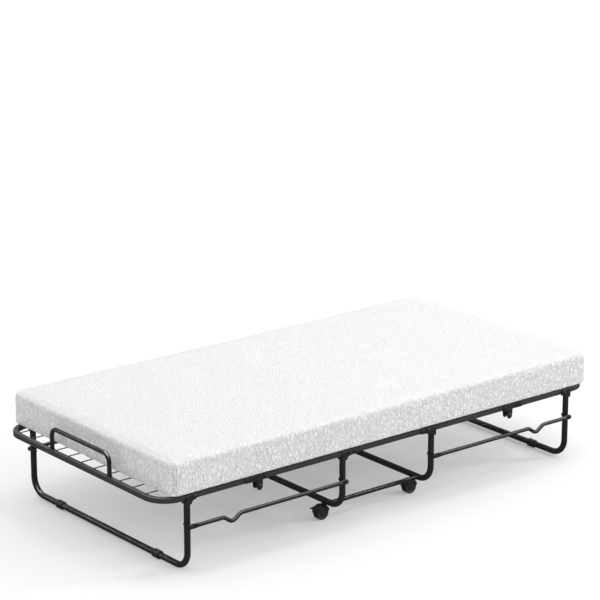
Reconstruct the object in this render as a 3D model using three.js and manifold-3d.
// Folding rollaway guest bed, lying open: two half decks that fold up over a wheeled centre
// base, outer legs on parallel links, wire sleeping surface and a foam mattress.
// Millimetres, +Z up, X along the bed (head = -X, foot = +X), Y across it (front = -Y).
// Origin: on the floor, under the centre of the outline. The base is built about X = 0 and
// then moved by SHIFT_X, because the latch strap stands proud of the foot end only.
// Pieces are drawn at the foot end and on the front side, then mirrored.
import * as THREE from 'three';
import { mergeVertices } from 'three/addons/utils/BufferGeometryUtils.js';
import Module from 'manifold-3d';

const wasm = await Module();
wasm.setup();

// ---------------------------------------------------------------- driving dimensions
const SHIFT_X = -14.1;       // middle of the base from the centre of the outline
const GAP = 0.3;             // clearance between separate pieces
const SIDES = [-1, 1];

// deck
const RAIL = 19;             // square deck tube, outside
const RAIL_BEVEL = 2;        // corner bevel of the square tube
const RAIL_Z = 271;          // height of the rail axis
const RAIL_Y = 460;          // rail axis to centre line
const PIVOT_X = 180;         // deck pivot, either side of the middle
const DECK_LENGTH = 796;     // deck pivot to end rail axis
const CORNER_R = 80;         // end rail corner radius
const CROSS_A = 464;         // cross rails, from the deck pivot
const CROSS_B = 353;
const CROSS_C = 66;
const FRAME_BAR_X = 130;     // centre frame cross bars

// wire surface, in four-sided bars
const WIRE_R = 2;
const CROSS_WIRE_R = 1.5;
const WIRE_CORNER = 1.2;     // corner radius of a bar over its wire radius
const WIRE_PITCH = 76;
const WIRE_N = 5;            // long wires either side of the middle one

// legs
const LEG_ARM = 665;         // deck pivot to outer leg pivot
const LEG_OFFSET = 24;       // leg axis outboard of its pivot
const LEG_R = 11;
const LEG_BEND = 60;
const OUTER_FOOT_Z = 15;     // outer leg floor tube axis
const CENTER_FOOT_Z = 67;    // centre leg floor tube axis
const COLLAR_Y = 290;
const COLLAR_R = 15;         // axis to the flats
const COLLAR_HALF = 16;

// handles and tie bars
const TUBE_R = 8;            // tube radius of both
const TIE_Y = 394;
const HANDLE_Y = 172;        // handle arms, across
const HANDLE_H = 88;         // handle bar above the rail axis
const HANDLE_BEND = 30;

// links
const LINK_R = 6.3;
const LINK_Z = RAIL_Z - 100; // pivot height
const LINK_OUT = 22;         // link plane outside the leg axis
const EYE_HALF = 2.5;        // half thickness of the flattened eyes
const KICK = 20;             // depth of the kick that clears the catch pin
const KICK_AT = 171;         // kick centre from the outer link pivot
const KICK_HALF = 42;

// pins and brackets
const PIN_R = 4;
const HOLE_R = 4.7;
const CUT_HALF = 20;         // half length of the rods that cut holes
const EAR_IN = 10.5;         // bracket ears either side of a rail
const EAR_OUT = 13.5;
const SEAT_T = 3;            // bracket seat under the rail
const CATCH_X = PIVOT_X + 394;
const STOP_X = PIVOT_X - 27; // pin through the centre frame and centre leg cup

// casters
const CASTER_Y = 360;
const WHEEL_R = 25;
const WHEEL_X = -14;         // wheel axle from the swivel axis
const POCKET_R = 26.3;       // wheel pocket
const WEB_HALF = 3.2;        // half thickness of the web between the wheels
const PEDAL_X = WHEEL_X - 29.5;
const PEDAL_Z = WHEEL_R + 19.2;

// latch strap
const LATCH_LENGTH = 2 * (PIVOT_X - HANDLE_H);
const LATCH_LEAN = 9.5;      // degrees the hanging strap leans out
const LATCH_HALF = 7;        // half width
const LATCH_WALL = 3.6;      // ring wall over the handle tube

// mattress
const MATTRESS_HALF_W = 965 / 2;
const MATTRESS_Z = 285;
const MATTRESS_TOP = MATTRESS_Z + 125;
const HEAD_REACH = 942;      // mattress ends from the middle of the base
const FOOT_REACH = 961;
const FOLD_CLEARANCE = 1.2;

// derived places
const HALF_RAIL = RAIL / 2;
const END_X = PIVOT_X + DECK_LENGTH;                   // end rail axis
const CENTER_LEG_X = PIVOT_X + LEG_OFFSET;
const OUTER_LEG_X = PIVOT_X + LEG_ARM + LEG_OFFSET;
const SEAT_TOP = RAIL_Z - HALF_RAIL - GAP;

// ---------------------------------------------------------------- materials
const finish = (look) => () => new THREE.MeshStandardMaterial(look);
const steel = finish({ color: 0x2b2c2e, roughness: 0.42, metalness: 0.35 });
const darkSteel = finish({ color: 0x1c1d1f, roughness: 0.38, metalness: 0.5 });
const zinc = finish({ color: 0x3a3b3d, roughness: 0.35, metalness: 0.8 });
const plastic = finish({ color: 0x1b1b1c, roughness: 0.5, metalness: 0 });
const rubber = finish({ color: 0x202021, roughness: 0.75, metalness: 0 });
const knit = finish({ color: 0xe9e9e8, roughness: 0.9, metalness: 0 });

// ---------------------------------------------------------------- solid helpers
// welds a geometry, drops collapsed triangles and turns the faces outward
function clean(geometry) {
  geometry.deleteAttribute('normal');
  geometry.deleteAttribute('uv');
  const welded = mergeVertices(geometry, 1e-4);
  const position = welded.getAttribute('position');
  const index = welded.getIndex().array;
  const corner = (i) => new THREE.Vector3().fromBufferAttribute(position, i);
  const kept = [];
  let volume = 0;
  for (let i = 0; i < index.length; i += 3) {
    const [a, b, c] = index.slice(i, i + 3);
    if (a === b || b === c || a === c) continue;
    kept.push(a, b, c);
    volume += corner(a).dot(corner(b).cross(corner(c)));
  }
  if (volume < 0) {
    for (let i = 0; i < kept.length; i += 3) [kept[i], kept[i + 1]] = [kept[i + 1], kept[i]];
  }
  welded.setIndex(kept);
  return welded;
}

function solid(part) {
  if (!part.isBufferGeometry) return part;
  const geometry = clean(part);
  return new wasm.Manifold(new wasm.Mesh({
    numProp: 3,
    vertProperties: new Float32Array(geometry.getAttribute('position').array),
    triVerts: new Uint32Array(geometry.getIndex().array),
  }));
}

function toGeometry(manifold) {
  const mesh = manifold.getMesh();
  const geometry = new THREE.BufferGeometry();
  const positions = new Float32Array(mesh.vertProperties);
  geometry.setAttribute('position', new THREE.BufferAttribute(positions, 3));
  geometry.setIndex(Array.from(mesh.triVerts));
  return geometry;
}

// join and cut take geometries or solids
const join = (...parts) => parts.map(solid).reduce((sum, part) => sum.add(part));
const cut = (body, ...tools) => tools.reduce((rest, tool) => rest.subtract(solid(tool)), solid(body));

const flipX = (geometry) => clean(geometry.clone().scale(-1, 1, 1));
const flipY = (geometry) => clean(geometry.clone().scale(1, -1, 1));

// ---------------------------------------------------------------- primitive shapes
const span = (a, b) => [Math.min(a, b), Math.max(a, b)];

// cylinder along Y about the origin, one flat facing +Z
function cylinder(radius, length, sides) {
  return new THREE.CylinderGeometry(radius, radius, length, sides, 1, false, Math.PI / sides);
}
function rodY(radius, x, y0, y1, z, sides) {
  return cylinder(radius, y1 - y0, sides).translate(x, (y0 + y1) / 2, z);
}
// rod along Y, centred on y
function rodAcross(radius, x, y, half, z, sides) {
  return rodY(radius, x, y - half, y + half, z, sides);
}
function rodX(radius, x0, x1, y, z, sides) {
  return cylinder(radius, x1 - x0, sides).rotateZ(Math.PI / 2).translate((x0 + x1) / 2, y, z);
}
function rodZ(radius, x, y, z0, z1, sides) {
  return cylinder(radius, z1 - z0, sides).rotateX(Math.PI / 2).translate(x, y, (z0 + z1) / 2);
}
function box(x0, x1, y0, y1, z0, z1) {
  return new THREE.BoxGeometry(x1 - x0, y1 - y0, z1 - z0)
    .translate((x0 + x1) / 2, (y0 + y1) / 2, (z0 + z1) / 2);
}
// flat plate, its [x, z] outline drawn from (x, z) and thick from y0 to y1
function plate(outline, y0, y1, x = 0, z = 0) {
  const shape = new THREE.Shape(outline.map(([dx, dz]) => new THREE.Vector2(x + dx, z + dz)));
  return new THREE.ExtrudeGeometry(shape, { depth: y1 - y0, bevelEnabled: false })
    .rotateX(Math.PI / 2)
    .translate(0, y1, 0);
}
function squareSection(side) {
  const h = side / 2;
  const b = h - RAIL_BEVEL;
  return new THREE.Shape([[b, -h], [h, -b], [h, b], [b, h], [-b, h], [-h, b], [-h, -b], [-b, -h]]
    .map(([x, y]) => new THREE.Vector2(x, y)));
}
function roundSection(radius, sides) {
  const points = [];
  for (let i = 0; i < sides; i++) {
    const angle = (i + 0.5) * 2 * Math.PI / sides;
    points.push(new THREE.Vector2(radius * Math.cos(angle), radius * Math.sin(angle)));
  }
  return new THREE.Shape(points);
}

// a path given by its own stations, so that sections fall only where the tube bends
class StationCurve extends THREE.Curve {
  constructor(stations) {
    super();
    this.stations = stations;
  }
  station(t) { return this.stations[Math.round(t * (this.stations.length - 1))]; }
  getPointAt(t) { return this.station(t).point.clone(); }
  getTangentAt(t) { return this.station(t).tangent.clone(); }
}

// corner list -> stations, each inner corner rounded to the radius in the given steps
function bentPath(cornerList, radius, steps) {
  const corners = cornerList.map((corner) => new THREE.Vector3(...corner));
  const last = corners.length - 1;
  const direction = (i) => corners[i + 1].clone().sub(corners[i]).normalize();
  const stations = [{ point: corners[0], tangent: direction(0) }];
  for (let i = 1; i < last; i++) {
    const before = direction(i - 1);
    const after = direction(i);
    const turn = Math.acos(before.dot(after));
    const start = corners[i].clone().addScaledVector(before, -radius * Math.tan(turn / 2));
    const inward = after.clone().addScaledVector(before, -before.dot(after)).normalize();
    for (let k = 0; k <= steps; k++) {
      const angle = turn * k / steps;
      stations.push({
        point: start.clone()
          .addScaledVector(before, radius * Math.sin(angle))
          .addScaledVector(inward, radius * (1 - Math.cos(angle))),
        tangent: before.clone().multiplyScalar(Math.cos(angle))
          .addScaledVector(inward, Math.sin(angle)),
      });
    }
  }
  stations.push({ point: corners[last], tangent: direction(last - 1) });
  return stations;
}
function sweep(section, stations) {
  return new THREE.ExtrudeGeometry(section, {
    steps: stations.length - 1,
    extrudePath: new StationCurve(stations),
    bevelEnabled: false,
  });
}
function squareTube(side, start, end) {
  return sweep(squareSection(side), bentPath([start, end]));
}
// U-shaped path across the bed: from (x, z) at -y to (endX, endZ), over to +y and back
function crossU(x, z, endX, endZ, y, radius, steps) {
  return bentPath([[x, -y, z], [endX, -y, endZ], [endX, y, endZ], [x, y, z]], radius, steps);
}

// ---------------------------------------------------------------- bracket and pin parts
function ears(outline, x, y, inner) {
  return join(
    plate(outline, y - EAR_OUT, y - inner, x, RAIL_Z),
    plate(outline, y + inner, y + EAR_OUT, x, RAIL_Z));
}
function seat(x, y, half) {
  return box(x - half, x + half, y - EAR_OUT, y + EAR_OUT, SEAT_TOP - SEAT_T, SEAT_TOP);
}
// pin through a rail and both ears: eight-sided head on the -Y side, six-sided on +Y
function railPin(x, y, { half, sides, headR, headT }) {
  const near = EAR_OUT + GAP;
  const far = near + headT;
  return join(
    rodAcross(PIN_R, x, y, half, RAIL_Z, sides),
    rodY(headR, x, y - far, y - near, RAIL_Z, 8),
    rodY(headR, x, y + near, y + far, RAIL_Z, 6));
}
function bolt(x) {
  return toGeometry(railPin(x, -RAIL_Y, { half: 16, sides: 8, headR: 7, headT: 3.5 }));
}

// ---------------------------------------------------------------- half deck
function deckFrame() {
  const path = crossU(PIVOT_X, RAIL_Z, END_X, RAIL_Z, RAIL_Y, CORNER_R, 5);
  // rounded rail ends at the deck pivot
  const ends = SIDES.map((side) =>
    rodAcross(HALF_RAIL, PIVOT_X, side * RAIL_Y, HALF_RAIL, RAIL_Z, 12));
  const holes = [PIVOT_X, PIVOT_X + LEG_ARM].flatMap((x) => SIDES.map((side) =>
    rodAcross(HOLE_R, x, side * RAIL_Y, CUT_HALF, RAIL_Z, 10)));
  return toGeometry(cut(join(sweep(squareSection(RAIL), path), ...ends), ...holes));
}

function crossRail(fromPivot) {
  const x = PIVOT_X + fromPivot;
  const y = RAIL_Y - HALF_RAIL - GAP;
  return clean(squareTube(RAIL, [x, -y, RAIL_Z], [x, y, RAIL_Z]));
}

function longWires(x0, x1, z) {
  const wires = [];
  for (let i = -WIRE_N; i <= WIRE_N; i++) {
    wires.push(rodX(WIRE_R * WIRE_CORNER, x0, x1, i * WIRE_PITCH, z, 4));
  }
  return wires;
}

function wirePanel(x0, x1, crossWireXs) {
  const z = RAIL_Z + HALF_RAIL + GAP + WIRE_R;
  const longDrop = 0.3;
  const crossDrop = 2.4;
  const reach = RAIL_Y - HALF_RAIL - 0.5;
  const crossWires = crossWireXs.map((x) =>
    rodAcross(CROSS_WIRE_R * WIRE_CORNER, x, 0, reach, z - crossDrop, 4));
  return toGeometry(join(...longWires(x0, x1, z - longDrop), ...crossWires));
}
// the panels overlap the cross rails by 5 mm past their axes
const upperPanel = () => wirePanel(PIVOT_X + CROSS_A - 5, END_X - 1, [END_X - 111, END_X - 218]);
const lowerPanel = () => wirePanel(PIVOT_X + CROSS_C - 5, PIVOT_X + CROSS_B + 5, [END_X - 586]);

function handle() {
  const foot = RAIL_Z + HALF_RAIL + GAP;
  const path = crossU(END_X, foot, END_X, RAIL_Z + HANDLE_H, HANDLE_Y, HANDLE_BEND, 3);
  return clean(sweep(roundSection(TUBE_R, 10), path));
}

// hanging catch ears, [x, z] from the catch centre on the rail axis
const CATCH_EAR = [
  [-13, -5], [13, -5], [13, -20], [8, -40], [3, -44], [-5, -43], [-9, -36], [-13, -20],
];
// plate riveted to the outer face of a rail, with the catch and its pin hanging under it
function catchBracket() {
  const y = -RAIL_Y;
  const x0 = END_X - 434;
  const x1 = END_X - 340;
  const face = HALF_RAIL + GAP;
  const pinZ = RAIL_Z - 30;
  const rivets = [x0 + 9, x1 - 9].map((x) => rodY(3.4, x, y - 14.8, y - 12, RAIL_Z, 8));
  return toGeometry(join(
    box(x0, x1, y - 13.3, y - face, RAIL_Z - 9.5, RAIL_Z + 9.5),
    ...rivets,
    ears([...CATCH_EAR].reverse().reverse(), CATCH_X, y, face),
    seat(CATCH_X, y, 13),
    rodY(PIN_R, CATCH_X, y - 15, y + 15.5, pinZ, 8),
    rodY(6, CATCH_X, y - 17, y - 13, pinZ, 8)));
}

// ---------------------------------------------------------------- legs
// leg cup ears, [x, z] from the leg axis at rail height: both share their outboard end
const CUP_TOP = [[12, -26], [12, 4], [0, 7], [-12, 7.5], [-18, 9.5]];
const CUP_BOTTOM = [[-14, -20], [-11, -26]];
const OUTER_CUP = [...CUP_TOP, [-29, 9.5], [-35, 4], [-35, -5], [-29, -11], ...CUP_BOTTOM];
const CUP_TAIL = -(LEG_OFFSET + 38);   // the centre cup reaches in past the deck pivot
const CENTER_CUP = [
  ...CUP_TOP,
  [CUP_TAIL + 4, 9.5], [CUP_TAIL, 6], [CUP_TAIL, -6], [CUP_TAIL + 4, -10], [-28, -12],
  ...CUP_BOTTOM,
];

// spacer, pin and head that carry a link eye outside the leg
function linkStud(x, side) {
  const rod = (radius, from, to) =>
    rodY(radius, x, ...span(side * (RAIL_Y + from), side * (RAIL_Y + to)), LINK_Z, 8);
  return join(
    rod(6.5, 6, LINK_OUT - EYE_HALF - GAP),
    rod(PIN_R, 6, LINK_OUT + 3),
    rod(7, LINK_OUT + EYE_HALF + GAP, LINK_OUT + 6.2));
}

// U-shaped leg with cups and link studs; the centre leg also takes stop pins and casters
function leg(x, footZ, cupOutline, isCenter) {
  const path = crossU(x, SEAT_TOP - 2, x, footZ, RAIL_Y, LEG_BEND, 4);
  let body = solid(sweep(roundSection(LEG_R, 10), path));
  for (const side of SIDES) {
    const y = side * RAIL_Y;
    const cup = join(ears(cupOutline, x, y, EAR_IN), seat(x, y, 12));
    body = join(body, cup, linkStud(x, side));
    body = cut(body, rodAcross(HOLE_R, x - LEG_OFFSET, y, CUT_HALF, RAIL_Z, 10));
    if (isCenter) {
      body = cut(body,
        rodAcross(HOLE_R, STOP_X, y, CUT_HALF, RAIL_Z, 8),
        rodZ(HOLE_R, x, side * CASTER_Y, footZ - 20, footZ + 4, 10));
    }
  }
  return toGeometry(body);
}
const outerLeg = () => leg(OUTER_LEG_X, OUTER_FOOT_Z, OUTER_CUP, false);
const centerLeg = () => leg(CENTER_LEG_X, CENTER_FOOT_Z, CENTER_CUP, true);

function footCollar() {
  const cornerR = COLLAR_R / Math.cos(Math.PI / 12);
  return toGeometry(cut(
    rodAcross(cornerR, OUTER_LEG_X, -COLLAR_Y, COLLAR_HALF, OUTER_FOOT_Z, 12),
    rodAcross(LEG_R + 0.9, OUTER_LEG_X, -COLLAR_Y, CUT_HALF, OUTER_FOOT_Z, 12)));
}

// link rod with flattened eyes and a downward kick, from the outer leg to the centre leg
function link() {
  const y = -RAIL_Y - LINK_OUT;
  const station = (x, dz = 0, slope = 0) => ({
    point: new THREE.Vector3(x, y, LINK_Z + dz),
    tangent: new THREE.Vector3(1, 0, slope).normalize(),
  });
  // the rod starts inside the eye tangs; the kick is one cosine wave
  const stations = [station(CENTER_LEG_X + 16)];
  for (let k = -4; k <= 4; k++) {
    const along = k / 4;
    const dz = -KICK * 0.5 * (1 + Math.cos(Math.PI * along));
    const slope = KICK * 0.5 * Math.PI * Math.sin(Math.PI * along) / KICK_HALF;
    stations.push(station(OUTER_LEG_X - KICK_AT + along * KICK_HALF, dz, slope));
  }
  stations.push(station(OUTER_LEG_X - 16));
  let body = solid(sweep(roundSection(LINK_R, 8), stations));
  for (const [x, inward] of [[CENTER_LEG_X, 1], [OUTER_LEG_X, -1]]) {
    const tang = box(...span(x, x + inward * 32),
      y - EYE_HALF, y + EYE_HALF, LINK_Z - 7.5, LINK_Z + 7.5);
    body = join(body, rodAcross(9, x, y, EYE_HALF, LINK_Z, 12), tang);
    body = cut(body, rodAcross(HOLE_R, x, y, 10, LINK_Z, 8));
  }
  return toGeometry(body);
}

// ---------------------------------------------------------------- centre base
function tieBar() {
  const reach = CENTER_LEG_X - LEG_R - GAP;
  return clean(rodX(TUBE_R, -reach, reach, -TIE_Y, CENTER_FOOT_Z, 12));
}

function centerFrame() {
  const end = PIVOT_X - HALF_RAIL - 1;
  const barReach = RAIL_Y - 2;
  const blockHalf = EAR_IN - GAP;
  const wireReach = FRAME_BAR_X + 6;
  const parts = [];
  for (const y of [-RAIL_Y, RAIL_Y]) {
    parts.push(squareTube(RAIL, [-end, y, RAIL_Z], [end, y, RAIL_Z]));
    // end block and stop pin
    for (const side of SIDES) {
      parts.push(
        box(...span(side * (PIVOT_X - 37), side * (end - 2)),
          y - blockHalf, y + blockHalf, RAIL_Z - 7, RAIL_Z + 7),
        railPin(side * STOP_X, y, { half: 15, sides: 6, headR: 6, headT: 2.5 }));
    }
  }
  // the cross bars are slightly thinner than the rails they run into
  for (const x of [-FRAME_BAR_X, FRAME_BAR_X]) {
    parts.push(squareTube(RAIL - 0.4, [x, -barReach, RAIL_Z], [x, barReach, RAIL_Z]));
  }
  parts.push(...longWires(-wireReach, wireReach, RAIL_Z + HALF_RAIL + 1.2));
  return toGeometry(join(...parts));
}

// ---------------------------------------------------------------- casters
// drawn with the swivel axis at x = y = 0; the wheels trail to -X at both ends

// brake pedal lug, [x, z] from the wheel axle
const BRAKE_LUG = [[-22, 14.5], [-31, 15.5], [-33.5, 19], [-31.5, 23], [-27, 23.5], [-14, 23.5]];
function casterHousing(braked) {
  const hood = solid(rodAcross(28.5, WHEEL_X, 0, 13.5, WHEEL_R, 20))
    .intersect(solid(box(-60, 30, -30, 30, 27, 52.6)));
  let body = join(hood,
    rodZ(9, 0, 0, 36, 55.7, 10),
    rodAcross(22, WHEEL_X, 0, WEB_HALF, WHEEL_R, 16),
    rodZ(PIN_R, 0, 0, 50, 69.5, 8));
  if (braked) {
    const lugs = SIDES.map((side) =>
      plate(BRAKE_LUG, ...span(side * 8.6, side * 11.4), WHEEL_X, WHEEL_R));
    body = join(body, ...lugs);
  }
  for (const side of SIDES) {
    const [y0, y1] = span(side * WEB_HALF, side * 20);
    body = cut(body, rodY(POCKET_R, WHEEL_X, y0, y1, WHEEL_R, 20));
  }
  if (braked) body = cut(body, rodAcross(2.4, PEDAL_X, 0, CUT_HALF, PEDAL_Z, 8));
  return toGeometry(cut(body, rodAcross(4.3, WHEEL_X, 0, CUT_HALF, WHEEL_R, 8)));
}

// half section of the +Y wheel, [radius, y]
const WHEEL_PROFILE = [
  [0, 3.7], [WHEEL_R, 3.7], [WHEEL_R, 12], [23.4, 13.2], [8, 13.2], [7, 13.6], [0, 13.6],
];
function casterWheels() {
  const wheel = (side) => {
    const profile = WHEEL_PROFILE.map(([radius, y]) => new THREE.Vector2(radius, y));
    return new THREE.LatheGeometry(profile, 16).scale(1, side, 1).translate(WHEEL_X, 0, WHEEL_R);
  };
  return toGeometry(join(wheel(1), wheel(-1), rodAcross(3.4, WHEEL_X, 0, 6, WHEEL_R, 8)));
}

// pedal blade, [x, z] from its pivot
const PEDAL_BLADE = [[0, -0.6], [-14, 4], [-19, 4.2], [-19.4, 6.4], [-14, 6.6], [0, 2.2]];
function brakePedal() {
  const half = 8.2;
  return toGeometry(join(
    rodAcross(1.9, PEDAL_X, 0, 11.2, PEDAL_Z, 8),
    rodAcross(3.2, PEDAL_X, 0, half, PEDAL_Z, 8),
    plate(PEDAL_BLADE, -half, half, PEDAL_X, PEDAL_Z)));
}

// ---------------------------------------------------------------- latch strap
// hangs from the foot handle bar: a ring at the top, an open hook at the lower end
function latchStrap() {
  const w = LATCH_HALF;
  const hookZ = -LATCH_LENGTH;
  // drawn hanging along -Z from the bar axis, then leaned out
  const ring = rodAcross(TUBE_R + LATCH_WALL, 0, 0, w, 0, 14);
  const hook = cut(
    rodAcross(TUBE_R + 4, 0, 0, w, hookZ, 14),
    box(1.5, 31.5, -20, 20, hookZ - 30, hookZ + 30));
  const strap = box(-1.5, 1.5, -w, w, hookZ + 10.5, -10);
  const rib = box(-3.2, -1.2, -4, 4, hookZ + 24, -24);
  const lips = [1, -1].map((side) => box(0, 5.5, -w, w,
    ...span(hookZ + side * (TUBE_R + 0.9), hookZ + side * (TUBE_R + LATCH_WALL))));
  const bores = [hookZ, 0].map((z) => rodAcross(TUBE_R + 0.8, 0, 0, CUT_HALF, z, 14));
  return toGeometry(cut(join(ring, hook, strap, rib, ...lips), ...bores))
    .rotateY(-LATCH_LEAN * Math.PI / 180)
    .translate(END_X, 0, RAIL_Z + HANDLE_H);
}

// ---------------------------------------------------------------- mattress
// three lengths, mitred at 45 degrees from the deck pivots
const mitre = (z) => z - RAIL_Z + FOLD_CLEARANCE;

function mattressHalf(reach) {
  const outline = [
    [PIVOT_X + mitre(MATTRESS_Z), MATTRESS_Z],
    [reach - 6, MATTRESS_Z],
    [reach, MATTRESS_Z + 6],
    [reach, MATTRESS_TOP - 10],
    [reach - 10, MATTRESS_TOP],
    [PIVOT_X + mitre(MATTRESS_TOP), MATTRESS_TOP],
  ];
  return clean(plate(outline, -MATTRESS_HALF_W, MATTRESS_HALF_W));
}
function mattressCenter() {
  const bottom = PIVOT_X - mitre(MATTRESS_Z);
  const top = PIVOT_X - mitre(MATTRESS_TOP);
  const outline = [
    [-bottom, MATTRESS_Z], [bottom, MATTRESS_Z], [top, MATTRESS_TOP], [-top, MATTRESS_TOP],
  ];
  return clean(plate(outline, -MATTRESS_HALF_W, MATTRESS_HALF_W));
}

// ---------------------------------------------------------------- assembly
function group(parent) {
  const child = new THREE.Group();
  parent.add(child);
  return child;
}
function put(name, geometry, material, parent) {
  const mesh = new THREE.Mesh(geometry, material());
  mesh.name = name;
  parent.add(mesh);
}

const model = new THREE.Group();
const bed = group(model);
bed.position.x = SHIFT_X;
const base = group(bed);
const head = group(bed);
const foot = group(bed);

// pieces made once per end: name, geometry, material, whether on the base
const endPieces = [
  ['frame', deckFrame(), steel],
  ['cross_rail_a', crossRail(CROSS_A), steel],
  ['cross_rail_b', crossRail(CROSS_B), steel],
  ['cross_rail_c', crossRail(CROSS_C), steel],
  ['upper_mesh', upperPanel(), darkSteel],
  ['lower_mesh', lowerPanel(), darkSteel],
  ['handle', handle(), steel],
  ['leg', outerLeg(), steel],
  ['center_leg', centerLeg(), steel, true],
];
// pieces made front and back at each end, same columns
const sidePieces = [
  ['catch', catchBracket(), darkSteel],
  ['foot_collar', footCollar(), rubber],
  ['link', link(), darkSteel],
  ['leg_bolt', bolt(PIVOT_X + LEG_ARM), zinc],
  ['deck_bolt', bolt(PIVOT_X), zinc, true],
];
const asDrawn = (geometry) => geometry;
for (const [end, deck, toEnd] of [['foot', foot, asDrawn], ['head', head, flipX]]) {
  for (const [piece, geometry, material, onBase] of endPieces) {
    put(`${end}_${piece}`, toEnd(geometry), material, onBase ? base : deck);
  }
  for (const [side, toSide] of [['front', asDrawn], ['back', flipY]]) {
    for (const [piece, geometry, material, onBase] of sidePieces) {
      put(`${end}_${piece}_${side}`, toEnd(toSide(geometry)), material, onBase ? base : deck);
    }
  }
}

const tie = tieBar();
put('tie_bar_front', tie, steel, base);
put('tie_bar_back', flipY(tie), steel, base);
put('center_frame', centerFrame(), steel, base);

// only the front casters have brakes
const wheels = casterWheels();
const pedal = brakePedal();
for (const [side, y, braked] of [['front', -CASTER_Y, true], ['back', CASTER_Y, false]]) {
  const housing = casterHousing(braked);
  for (const [end, x] of [['head', -CENTER_LEG_X], ['foot', CENTER_LEG_X]]) {
    const caster = group(base);
    caster.position.set(x, y, 0);
    put(`${end}_caster_housing_${side}`, housing, plastic, caster);
    put(`${end}_caster_wheels_${side}`, wheels, plastic, caster);
    if (braked) put(`${end}_brake_pedal`, pedal, plastic, caster);
  }
}

put('latch_strap', latchStrap(), darkSteel, foot);
put('head_mattress', flipX(mattressHalf(HEAD_REACH)), knit, head);
put('center_mattress', mattressCenter(), knit, base);
put('foot_mattress', mattressHalf(FOOT_REACH), knit, foot);

export default model;
